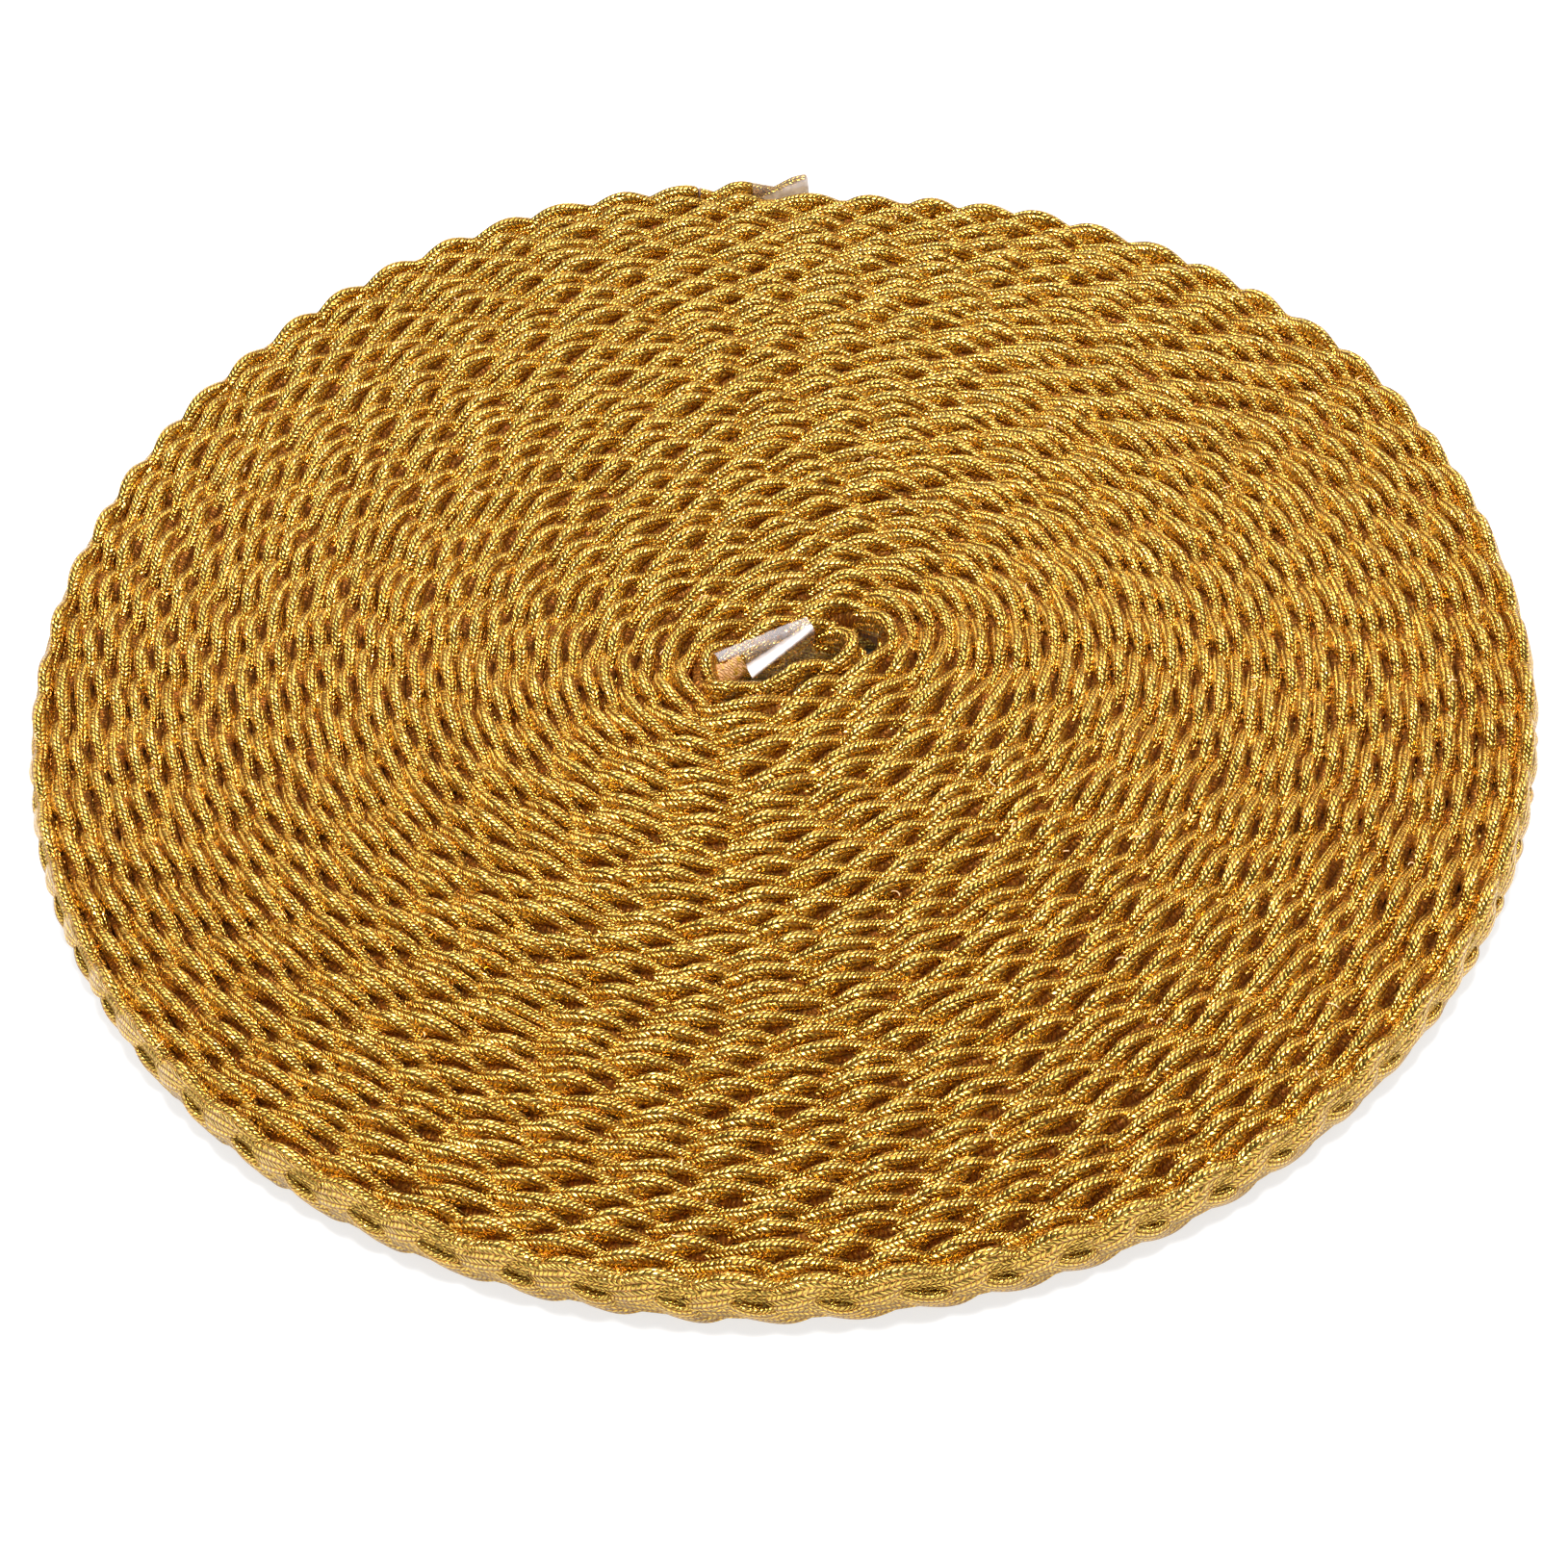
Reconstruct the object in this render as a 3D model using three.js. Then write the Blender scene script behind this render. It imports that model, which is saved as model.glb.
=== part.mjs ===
// Gold braid trim, wound on edge into a flat round roll, in millimetres with +Z up.
// The braid stands on its edge, so its width is the roll's height. It starts as a taped straight
// in the middle, turns back in a small loop, winds clockwise outwards and ends as a taped loose end.
import * as THREE from 'three';

// The braid
const BRAID_WIDTH = 10.1;
const BRAID_THICKNESS = 2.2;
const ARC_PITCH = 10.3; // from one strand's arc on the edge to the next
const STRAND_WIDTH = 3.5;
const PLUMP_THICKNESS = 2.1; // of a strand where it is alone, at an edge
const CROSSED_THICKNESS = 1.4; // of a strand where another crosses it
const SWING_OUT = 0.7; // how far a strand moves out to pass over another
const EDGE_NOTCH = 1.4; // how far the edge dips between two arcs

// The roll
const TURN_PITCH = 2.8;
const FIRST_RADIUS = 4.9; // from the roll's core to the first turn's lower run
const END_ANGLE = THREE.MathUtils.degToRad(95.5); // where the last turn leaves the roll
const WHOLE_TURNS = 38;
const COARSE_TURNS = 7; // small turns near the middle, with half as many steps
const STEPS_PER_TURN = 30;
const STEPS_PER_ARC = 4;

// The first turns are long because they go round the straight start, and the rest grow round
const CORE_HEADING = THREE.MathUtils.degToRad(20);
const CORE_CENTRE = new THREE.Vector2(1.1, -0.7);
const CORE_HALF_LENGTH = 8.45;
const CORE_CORNER = 0.3; // how softly its straight runs become round ends
const EASE_LENGTH = 105; // the growth in radius over which it becomes round

// The start of the braid in the middle
const START = new THREE.Vector2(-10.3, -2.6);
const START_HEADING = THREE.MathUtils.degToRad(24.5);
const START_LENGTH = 16.9;
const LOOP_RADIUS = 3.9;
const LOOP_STEPS = 12;
const BRIDGE_STEPS = 3;

// The loose end at the back
const LOOSE_LENGTH = 19.3;
const PIECE_GAP = 0.3;

// The tape round both cut ends
const TAPE_WALL = 0.4;
const TAPE_THICKNESS = 3.0;
const TAPE_CORNER = 0.9;
const SQUEEZED_THICKNESS = TAPE_THICKNESS - 2 * (TAPE_WALL + PIECE_GAP);
const SQUEEZED_INSET = TAPE_WALL + PIECE_GAP;
const SQUEEZE_RAMP = 1.2;
const CORE_TAPE_START = 0.6;
const CORE_TAPE_LENGTH = 15.2;
const END_TAPE_LENGTH = 9.6;
const END_TAPE_OVERHANG = 0.3;

// The roll's middle, measured from the centre of the whole part's footprint
const WINDING_CENTRE = new THREE.Vector3(0.7, -1.48, 0);

const GOLD = new THREE.MeshStandardMaterial({ color: 0xc79420, roughness: 0.4, metalness: 0.7 });
const LOOSE_GOLD = GOLD.clone();
const CLEAR_TAPE = new THREE.MeshStandardMaterial({
  color: 0xe8dfd0, roughness: 0.15, metalness: 0, transparent: true, opacity: 0.55,
});
const END_TAPE = CLEAR_TAPE.clone();

/** The unit vector at an angle. */
function direction(angle) {
  return new THREE.Vector2(Math.cos(angle), Math.sin(angle));
}

/** The unit vector a quarter turn to the left of the way the braid runs, which is outwards. */
function leftOf(way) {
  return new THREE.Vector2(-way.y, way.x);
}

/**
 * The braid's centreline after so many turns, clockwise from the first turn's lower run.
 * It is a spiral whose two halves are pushed apart along the core, less and less as it grows.
 */
function coilPoint(turns) {
  const radius = FIRST_RADIUS + TURN_PITCH * turns;
  const angle = -Math.PI / 2 - 2 * Math.PI * turns;
  const eased = Math.min((TURN_PITCH * turns) / EASE_LENGTH, 1);
  const fade = 0.5 * (1 + Math.cos(Math.PI * eased));
  const across = Math.cos(angle);
  const push = (across * Math.hypot(1, CORE_CORNER)) / Math.hypot(across, CORE_CORNER);
  const point = new THREE.Vector2(
    radius * across + CORE_HALF_LENGTH * fade * push,
    radius * Math.sin(angle),
  );
  return point.rotateAround(new THREE.Vector2(), CORE_HEADING).addScaledVector(CORE_CENTRE, fade);
}

/** The way the braid runs at that place of the coil. */
function coilWay(turns) {
  const step = 1e-4;
  return coilPoint(turns + step).sub(coilPoint(turns - step)).normalize();
}

/**
 * How far the plait's outer face stands from the centreline at a height and a distance along it.
 * Three strands cross the width as sine waves a third of a wave apart, and each moves from the
 * inner to the outer face twice a wave. The face is the outermost strand's rounded back.
 */
function plaitReach(along, height) {
  const wave = 3 * ARC_PITCH;
  const swing = (BRAID_WIDTH - STRAND_WIDTH) / 2;
  let reach = CROSSED_THICKNESS / 2;
  for (let strand = 0; strand < 3; strand += 1) {
    const phase = 2 * Math.PI * (along / wave + strand / 3);
    const slope = ((2 * Math.PI * swing) / wave) * Math.cos(phase);
    const off = (height - BRAID_WIDTH / 2 - swing * Math.sin(phase)) / Math.hypot(1, slope);
    const back = Math.sqrt(Math.max(1 - (off / (STRAND_WIDTH / 2)) ** 2, 0));
    const plump = (PLUMP_THICKNESS - CROSSED_THICKNESS) * Math.sin(phase) ** 4;
    const half = (CROSSED_THICKNESS + plump) / 2;
    reach = Math.max(reach, half * back - SWING_OUT * Math.sin(2 * phase));
  }
  return reach;
}

/** A plain cross-section of the braid at a point: its inner and outer edges, low to high. */
function plainSection(point, way, thickness = BRAID_THICKNESS, inset = 0) {
  const outwards = leftOf(way);
  const place = (side, height) => new THREE.Vector3(
    point.x + (outwards.x * side * thickness) / 2,
    point.y + (outwards.y * side * thickness) / 2,
    height,
  );
  const heights = [inset, BRAID_WIDTH - inset];
  return { inner: heights.map((z) => place(-1, z)), outer: heights.map((z) => place(1, z)) };
}

/**
 * A cross-section of the outermost turn, with notched edges and the plait's relief outside.
 * The arcs of the lower edge stand half an arc away from those of the upper edge.
 */
function rimSection(point, way, along) {
  const outwards = leftOf(way);
  const notchAt = (arcs) => EDGE_NOTCH * (1 - Math.abs(Math.sin(Math.PI * arcs)));
  const bottom = notchAt(along / ARC_PITCH + 0.25);
  const top = BRAID_WIDTH - notchAt(along / ARC_PITCH - 0.25);
  const place = (side, height) => new THREE.Vector3(
    point.x + outwards.x * side,
    point.y + outwards.y * side,
    height,
  );
  const rows = [bottom, BRAID_WIDTH / 3, (2 * BRAID_WIDTH) / 3, top];
  return {
    inner: [bottom, top].map((z) => place(-BRAID_THICKNESS / 2, z)),
    outer: rows.map((z) => place(plaitReach(along, z), z)),
  };
}

/** A closed solid through a row of cross-sections, whose outer edges may differ in points. */
function ribbonGeometry(sections) {
  const points = [];
  const faces = [];
  const add = (point) => points.push(point) - 1;
  const rings = sections.map((section) => ({
    inner: section.inner.map(add),
    outer: section.outer.map(add),
  }));
  // Joins two rows of points with triangles, moving on along the row that is behind
  const zip = (a, b) => {
    let i = 0;
    let j = 0;
    while (i < a.length - 1 || j < b.length - 1) {
      const lag = (i + 1) / a.length - (j + 1) / b.length;
      if (j === b.length - 1 || (i < a.length - 1 && lag <= 0)) {
        faces.push([a[i], a[i + 1], b[j]]);
        i += 1;
      } else {
        faces.push([a[i], b[j + 1], b[j]]);
        j += 1;
      }
    }
  };
  for (let k = 0; k + 1 < rings.length; k += 1) {
    const here = rings[k];
    const next = rings[k + 1];
    zip(here.outer, next.outer);
    zip([here.outer.at(-1), here.inner.at(-1)], [next.outer.at(-1), next.inner.at(-1)]);
    zip([here.inner.at(-1), here.inner[0]], [next.inner.at(-1), next.inner[0]]);
    zip([here.inner[0], here.outer[0]], [next.inner[0], next.outer[0]]);
  }
  // Closes an end with a fan from its lower inner corner
  const cap = (ring, flip) => {
    const loop = [...ring.outer, ring.inner.at(-1)];
    for (let k = 0; k + 1 < loop.length; k += 1) {
      const face = [ring.inner[0], loop[k], loop[k + 1]];
      faces.push(flip ? face.reverse() : face);
    }
  };
  cap(rings[0], true);
  cap(rings.at(-1), false);
  const geometry = new THREE.BufferGeometry();
  geometry.setAttribute('position', new THREE.Float32BufferAttribute(points.flatMap((p) => p.toArray()), 3));
  geometry.setIndex(faces.flat());
  geometry.computeVertexNormals();
  return geometry;
}

/** The cross-sections of the taped straight in the middle and of the loop that turns it back. */
function coreSections() {
  const way = direction(START_HEADING);
  const tapeEnd = CORE_TAPE_START + CORE_TAPE_LENGTH + PIECE_GAP;
  const sections = [0, tapeEnd].map((along) => plainSection(
    START.clone().addScaledVector(way, along),
    way,
    SQUEEZED_THICKNESS,
    SQUEEZED_INSET,
  ));
  const bend = START.clone().addScaledVector(way, START_LENGTH);
  const centre = bend.clone().addScaledVector(leftOf(way), -LOOP_RADIUS);
  for (let k = 0; k <= LOOP_STEPS; k += 1) {
    const heading = START_HEADING - (Math.PI * k) / LOOP_STEPS;
    const point = centre.clone().addScaledVector(leftOf(direction(heading)), LOOP_RADIUS);
    sections.push(plainSection(point, direction(heading)));
  }
  return sections;
}

/** The cross-sections between the loop and the first turn, on one smooth curve. */
function bridgeSections() {
  const wayIn = direction(START_HEADING - Math.PI);
  const from = START.clone()
    .addScaledVector(direction(START_HEADING), START_LENGTH)
    .addScaledVector(leftOf(wayIn), 2 * LOOP_RADIUS);
  const to = coilPoint(0);
  const third = from.distanceTo(to) / 3;
  const curve = new THREE.CubicBezierCurve(
    from,
    from.clone().addScaledVector(wayIn, third),
    to.clone().addScaledVector(coilWay(0), -third),
    to,
  );
  const sections = [];
  for (let k = 1; k < BRIDGE_STEPS; k += 1) {
    sections.push(plainSection(curve.getPoint(k / BRIDGE_STEPS), curve.getTangent(k / BRIDGE_STEPS)));
  }
  return sections;
}

// The last turn ends where the direction from the roll's middle is END_ANGLE
const LAST_TURN = WHOLE_TURNS - (END_ANGLE - CORE_HEADING + Math.PI / 2) / (2 * Math.PI);
const RIM_TURN = LAST_TURN - 1;

/** The cross-sections of all turns but the outermost. */
function turnSections() {
  const sections = [];
  let step = 0;
  while (step / STEPS_PER_TURN < RIM_TURN) {
    sections.push(plainSection(coilPoint(step / STEPS_PER_TURN), coilWay(step / STEPS_PER_TURN)));
    step += step < COARSE_TURNS * STEPS_PER_TURN ? 2 : 1;
  }
  return sections;
}

/** The cross-sections of the outermost turn. */
function rimSections() {
  const radius = FIRST_RADIUS + TURN_PITCH * (LAST_TURN - 0.5);
  const arcs = Math.round((2 * Math.PI * radius) / ARC_PITCH);
  const steps = arcs * STEPS_PER_ARC;
  const sections = [];
  for (let k = 0; k <= steps; k += 1) {
    const turns = RIM_TURN + k / steps;
    sections.push(rimSection(coilPoint(turns), coilWay(turns), (k / STEPS_PER_ARC) * ARC_PITCH));
  }
  return sections;
}

/** The stiff end that runs straight off the roll, squeezed thin where the tape holds it. */
function looseSections() {
  const from = coilPoint(LAST_TURN);
  const way = coilWay(LAST_TURN);
  const squeezed = LOOSE_LENGTH - END_TAPE_LENGTH - PIECE_GAP;
  const at = (along) => from.clone().addScaledVector(way, along);
  return [
    plainSection(at(PIECE_GAP), way),
    plainSection(at(squeezed - SQUEEZE_RAMP), way),
    plainSection(at(squeezed), way, SQUEEZED_THICKNESS, SQUEEZED_INSET),
    plainSection(at(LOOSE_LENGTH - END_TAPE_OVERHANG), way, SQUEEZED_THICKNESS, SQUEEZED_INSET),
  ];
}

/** An upright rectangle with round corners, drawn into a shape or a hole. */
function roundedOutline(path, width, height, corner) {
  const x = width / 2 - corner;
  const y = height / 2 - corner;
  path.absarc(x, y, corner, 0, Math.PI / 2);
  path.absarc(-x, y, corner, Math.PI / 2, Math.PI);
  path.absarc(-x, -y, corner, Math.PI, 1.5 * Math.PI);
  path.absarc(x, -y, corner, 1.5 * Math.PI, 2 * Math.PI);
  path.closePath();
  return path;
}

/** A sleeve of tape round a straight end, from a point along a heading. */
function tapeSleeve(from, heading, length) {
  const shape = roundedOutline(new THREE.Shape(), TAPE_THICKNESS, BRAID_WIDTH, TAPE_CORNER);
  const bore = roundedOutline(
    new THREE.Path(),
    TAPE_THICKNESS - 2 * TAPE_WALL,
    BRAID_WIDTH - 2 * TAPE_WALL,
    TAPE_CORNER - TAPE_WALL,
  );
  shape.holes.push(bore);
  const geometry = new THREE.ExtrudeGeometry(shape, { depth: length, bevelEnabled: false, curveSegments: 3 });
  geometry.rotateX(Math.PI / 2);
  geometry.rotateZ(heading + Math.PI / 2);
  geometry.translate(from.x, from.y, BRAID_WIDTH / 2);
  return geometry;
}

/** A named sub-part with its own material. */
function piece(name, geometry, material) {
  const mesh = new THREE.Mesh(geometry, material);
  mesh.name = name;
  return mesh;
}

const startWay = direction(START_HEADING);
const looseWay = coilWay(LAST_TURN);
const roll = [...coreSections(), ...bridgeSections(), ...turnSections(), ...rimSections()];
const coreTapeFrom = START.clone().addScaledVector(startWay, CORE_TAPE_START);
const endTapeFrom = coilPoint(LAST_TURN).addScaledVector(looseWay, LOOSE_LENGTH - END_TAPE_LENGTH);

const trim = new THREE.Group();
trim.position.copy(WINDING_CENTRE);
trim.add(
  piece('braid_roll', ribbonGeometry(roll), GOLD),
  piece('loose_end', ribbonGeometry(looseSections()), LOOSE_GOLD),
  piece('core_tape', tapeSleeve(coreTapeFrom, START_HEADING, CORE_TAPE_LENGTH), CLEAR_TAPE),
  piece('end_tape', tapeSleeve(endTapeFrom, looseWay.angle(), END_TAPE_LENGTH), END_TAPE),
);

export default trim;
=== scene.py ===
# %% [markdown]
# # A roll of gold braid trim
# The braid is a flat plait of three metallic gold cords. It stands on its edge and is wound
# round itself into a flat disc, and clear tape holds its two cut ends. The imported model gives
# the size and the place of all four pieces. This script dresses them: real strands in place of
# the plain winding, film in place of the tape blocks, the finishes, the light and the camera.

# %% Load the frame
import math

import bpy
import numpy as np
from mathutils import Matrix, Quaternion, Vector


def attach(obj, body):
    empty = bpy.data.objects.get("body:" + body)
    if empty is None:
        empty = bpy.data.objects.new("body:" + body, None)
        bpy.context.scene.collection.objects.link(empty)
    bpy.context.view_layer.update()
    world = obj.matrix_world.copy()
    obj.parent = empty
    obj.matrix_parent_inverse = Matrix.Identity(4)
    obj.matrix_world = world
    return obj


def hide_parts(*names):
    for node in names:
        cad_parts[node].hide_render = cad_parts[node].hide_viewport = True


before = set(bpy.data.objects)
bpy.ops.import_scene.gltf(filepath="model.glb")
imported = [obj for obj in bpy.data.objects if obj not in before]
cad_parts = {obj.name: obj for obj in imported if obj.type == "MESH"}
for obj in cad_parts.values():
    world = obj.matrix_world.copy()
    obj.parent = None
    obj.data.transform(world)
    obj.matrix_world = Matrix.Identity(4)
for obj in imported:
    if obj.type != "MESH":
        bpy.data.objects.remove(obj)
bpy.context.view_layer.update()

print("frame nodes:", sorted(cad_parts))

# %% [markdown]
# ## Sizes
# Everything is worked out in millimetres and scaled once, when a mesh is made. The roll's own
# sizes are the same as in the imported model, so the strands follow the solid that they stand
# for.

# %% Sizes of the roll and its ends, in millimetres
MM = 0.001
WINDING_CENTRE = np.array([0.7, -1.48])
BRAID_WIDTH = 10.1
TURN_PITCH = 2.8
FIRST_RADIUS = 4.9
END_ANGLE = math.radians(95.5)
WHOLE_TURNS = 38
CORE_HEADING = math.radians(20)
CORE_CENTRE = np.array([1.1, -0.7])
CORE_HALF_LENGTH = 8.45
CORE_CORNER = 0.3
EASE_LENGTH = 105
START = np.array([-10.3, -2.6])
START_HEADING = math.radians(24.5)
START_LENGTH = 16.9
LOOP_RADIUS = 3.9
LOOSE_LENGTH = 19.3
PIECE_GAP = 0.3
LAST_TURN = WHOLE_TURNS - (END_ANGLE - CORE_HEADING + math.pi / 2) / (2 * math.pi)
print("turns:", round(LAST_TURN, 2))

# %% [markdown]
# ## The camera
# The photograph looks down at the roll from the front, at 49 degrees, through a fairly long
# lens. Those values come from the disc's outline: a circle of known size shows its tilt and
# distance by how much it is squashed and how much larger its near side looks. The camera is
# also rolled a little, because the ellipse's long axis isn't level in the picture.

# %% Camera
CAMERA_AIM = Vector((-0.2, -29.2, 10.1)) * MM
CAMERA_DISTANCE = 435.2 * MM
CAMERA_ELEVATION = math.radians(49.2)
CAMERA_ROLL = math.radians(-3.2)
CAMERA_LENS = 70.67


def photo_camera():
    """A camera on a sphere round its aim, turned about its own line of sight by the roll."""
    data = bpy.data.cameras.new("photo_camera")
    data.lens = CAMERA_LENS
    data.sensor_width = 36.0
    data.clip_start, data.clip_end = 0.01, 20.0
    camera = bpy.data.objects.new("photo_camera", data)
    back = Vector((0.0, -math.cos(CAMERA_ELEVATION), math.sin(CAMERA_ELEVATION)))
    camera.location = CAMERA_AIM + back * CAMERA_DISTANCE
    camera.rotation_mode = "QUATERNION"
    roll = Quaternion((0.0, 0.0, 1.0), CAMERA_ROLL)
    camera.rotation_quaternion = (-back).to_track_quat("-Z", "Y") @ roll
    bpy.context.scene.collection.objects.link(camera)
    bpy.context.scene.camera = camera
    return camera


camera = photo_camera()
print("camera at, mm:", [round(x / MM, 1) for x in camera.location])

# %% [markdown]
# ## The line of the braid
# The braid's middle line is flat. It starts as a straight in the middle of the roll, turns back
# in a small loop, and then winds outwards. The first turns are long, because they go round the
# straight, and the rest grow round. A drawn curve would do, but a formula keeps every turn
# exactly one pitch from the last, which is what makes a wound roll look wound.

# %% Directions and the coil


def unit(angle):
    """The unit vectors at some angles, as rows."""
    return np.stack([np.cos(angle), np.sin(angle)], axis=-1)


def turned(points, angle):
    """Points turned about the origin."""
    c, s = math.cos(angle), math.sin(angle)
    return points @ np.array([[c, s], [-s, c]])


def coil_point(turns):
    """The middle line after so many turns, clockwise outwards.

    The radius grows by one pitch a turn. The two halves of the spiral are also pushed apart along
    the core, by a smooth sign of the cosine, and a raised cosine of the radius fades that push out.
    """
    radius = FIRST_RADIUS + TURN_PITCH * turns
    angle = -math.pi / 2 - 2 * math.pi * turns
    fade = 0.5 * (1 + np.cos(np.pi * np.minimum(TURN_PITCH * turns / EASE_LENGTH, 1)))
    across = np.cos(angle)
    push = across * math.hypot(1, CORE_CORNER) / np.hypot(across, CORE_CORNER)
    flat = np.stack([radius * across + CORE_HALF_LENGTH * fade * push, radius * np.sin(angle)], -1)
    return turned(flat, CORE_HEADING) + fade[:, None] * CORE_CENTRE


# %% [markdown]
# A wound roll is never a true circle. The photograph's outline is three millimetres flatter at
# the back and one fuller at the back right, so the outer turns are moved in and out by two soft
# bumps of their angle. The inner turns stay as they are, and those between share the change.

# %% The roll's own unevenness
BUMPS = ((-3.2, math.radians(82), math.radians(19)), (1.0, math.radians(30), math.radians(14)))
SETTLED_FROM = 50
SETTLED_TO = 108


def settled(points):
    """Points of the coil moved in or out: r becomes r + f(r) sum of d exp(-((a - a0) / w)^2)."""
    radius, angle = np.hypot(*points.T), np.arctan2(points[:, 1], points[:, 0])
    share = np.clip((radius - SETTLED_FROM) / (SETTLED_TO - SETTLED_FROM), 0, 1)
    move = sum(depth * np.exp(-(((angle - at) / width) ** 2)) for depth, at, width in BUMPS)
    return points * (1 + share * share * (3 - 2 * share) * move / radius)[:, None]


# %% [markdown]
# The four stretches are joined into one long row of close points. From then on a place on the
# braid is one number, the distance from its start, and any point or direction is read off by
# linear interpolation.

# %% The whole line as one row of points
POINTS_PER_TURN = 900
POINTS_PER_SHORT_STRETCH = 80
LOOSE_TURN = math.radians(6.8)
LOOSE_BEND = 6.0


def bezier(a, b, c, d, count):
    """A cubic curve from a to d whose ends aim at b and c, without its two end points."""
    f = np.linspace(0, 1, count)[1:-1, None]
    return (1 - f) ** 3 * a + 3 * f * (1 - f) ** 2 * b + 3 * f**2 * (1 - f) * c + f**3 * d


def middle_line():
    """The points of the straight start, loop, bridge to the coil, coil and loose end.

    It also gives the number of the coil's first point and of its last.
    """
    way = unit(START_HEADING)
    straight = START + np.linspace(0, START_LENGTH, POINTS_PER_SHORT_STRETCH)[:, None] * way
    heading = START_HEADING - np.linspace(0, math.pi, POINTS_PER_SHORT_STRETCH)[1:]
    left = np.stack([-np.sin(heading), np.cos(heading)], -1)
    first_left = np.array([-way[1], way[0]])
    loop = straight[-1] - LOOP_RADIUS * first_left + LOOP_RADIUS * left
    coil = settled(coil_point(np.linspace(0, LAST_TURN, int(POINTS_PER_TURN * LAST_TURN))))
    coil_way = (coil[1] - coil[0]) / np.linalg.norm(coil[1] - coil[0])
    third = np.linalg.norm(coil[0] - loop[-1]) / 3
    bridge = bezier(
        loop[-1], loop[-1] - third * way, coil[0] - third * coil_way, coil[0],
        POINTS_PER_SHORT_STRETCH,
    )
    last_heading = math.atan2(*(coil[-1] - coil[-2])[::-1])
    run = np.linspace(0, LOOSE_LENGTH, POINTS_PER_SHORT_STRETCH)[1:]
    loose_way = unit(last_heading + LOOSE_TURN * np.clip(run / LOOSE_BEND, 0, 1))
    loose = coil[-1] + np.cumsum(loose_way, axis=0) * run[0]
    before = len(straight) + len(loop) + len(bridge)
    line = np.concatenate([straight, loop, bridge, coil, loose]) + WINDING_CENTRE
    return line, before, before + len(coil) - 1


line, coil_first, coil_last = middle_line()
steps = np.diff(line, axis=0)
line_length = np.concatenate([[0], np.cumsum(np.hypot(*steps.T))])
step_middle = (line_length[1:] + line_length[:-1]) / 2
step_heading = np.unwrap(np.arctan2(steps[:, 1], steps[:, 0]))
ROLL_END = line_length[coil_last]
BRAID_END = line_length[-1]
RIM_START = np.interp(
    LAST_TURN - 1, np.linspace(0, LAST_TURN, coil_last - coil_first + 1),
    line_length[coil_first:coil_last + 1],
)
print("braid length, m:", round(BRAID_END / 1000, 2))
print("outermost turn, mm:", round(ROLL_END - RIM_START, 1))


def along_line(s):
    """The point, the way and the outward side of the braid at the distances s from its start."""
    point = np.stack([np.interp(s, line_length, line[:, axis]) for axis in (0, 1)], -1)
    heading = np.interp(s, step_middle, step_heading)
    way = unit(heading)
    return point, way, np.stack([-way[:, 1], way[:, 0]], -1)


# %% [markdown]
# ## The plait
# In a flat plait of three, each strand swings from edge to edge as a sine wave, a third of a
# wave behind the next one, and moves from the inner to the outer face twice a wave to pass its
# neighbours. The strands are soft: where two of them cross they press each other flat, and at
# the edge each one is alone and plump. Hand-fed braid is never quite regular, so its phase,
# height, side and width drift a little, by sums of slow sine waves. One function of the
# distance and the strand's number gives all of this, for fourteen metres of braid at once.

# %% The swing of a strand
EDGE_WIDTH = 4.7
CROSSED_WIDTH = 4.0
EDGE_THICKNESS = 2.35
CROSSED_THICKNESS = 1.65
WAVES_ON_RIM = 22
WAVE_LENGTH = (ROLL_END - RIM_START) / WAVES_ON_RIM
SWING_UP = (BRAID_WIDTH - EDGE_WIDTH) / 2
SWING_OUT = 0.7
SWING_OUT_MORE = 0.35
SWING_SHARPNESS = 0.9
RIM_FULLER = 0.22
RIM_CALM = 0.35
CALMING_LENGTH = 60
LEAN = math.radians(24)
PHASE_DRIFT = 0.3
OWN_PHASE_DRIFT = 0.12
HEIGHT_DRIFT = 0.12
SIDE_DRIFT = 0.12
SIZE_DRIFT = 0.03


def wander(s, wavelengths, seed):
    """A smooth uneven value about 0: one sine for each wavelength, each with its own start."""
    starts = np.random.default_rng(seed).uniform(0, 2 * math.pi, len(wavelengths))
    waves = [np.sin(2 * math.pi * s / w + a) for w, a in zip(wavelengths, starts)]
    return sum(waves) / math.sqrt(len(wavelengths))


def calm(s):
    """1 inside the roll, down to RIM_CALM on the outermost turn, where the plait is more even."""
    return 1 - (1 - RIM_CALM) * np.clip((s - RIM_START) / CALMING_LENGTH, 0, 1)


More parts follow.
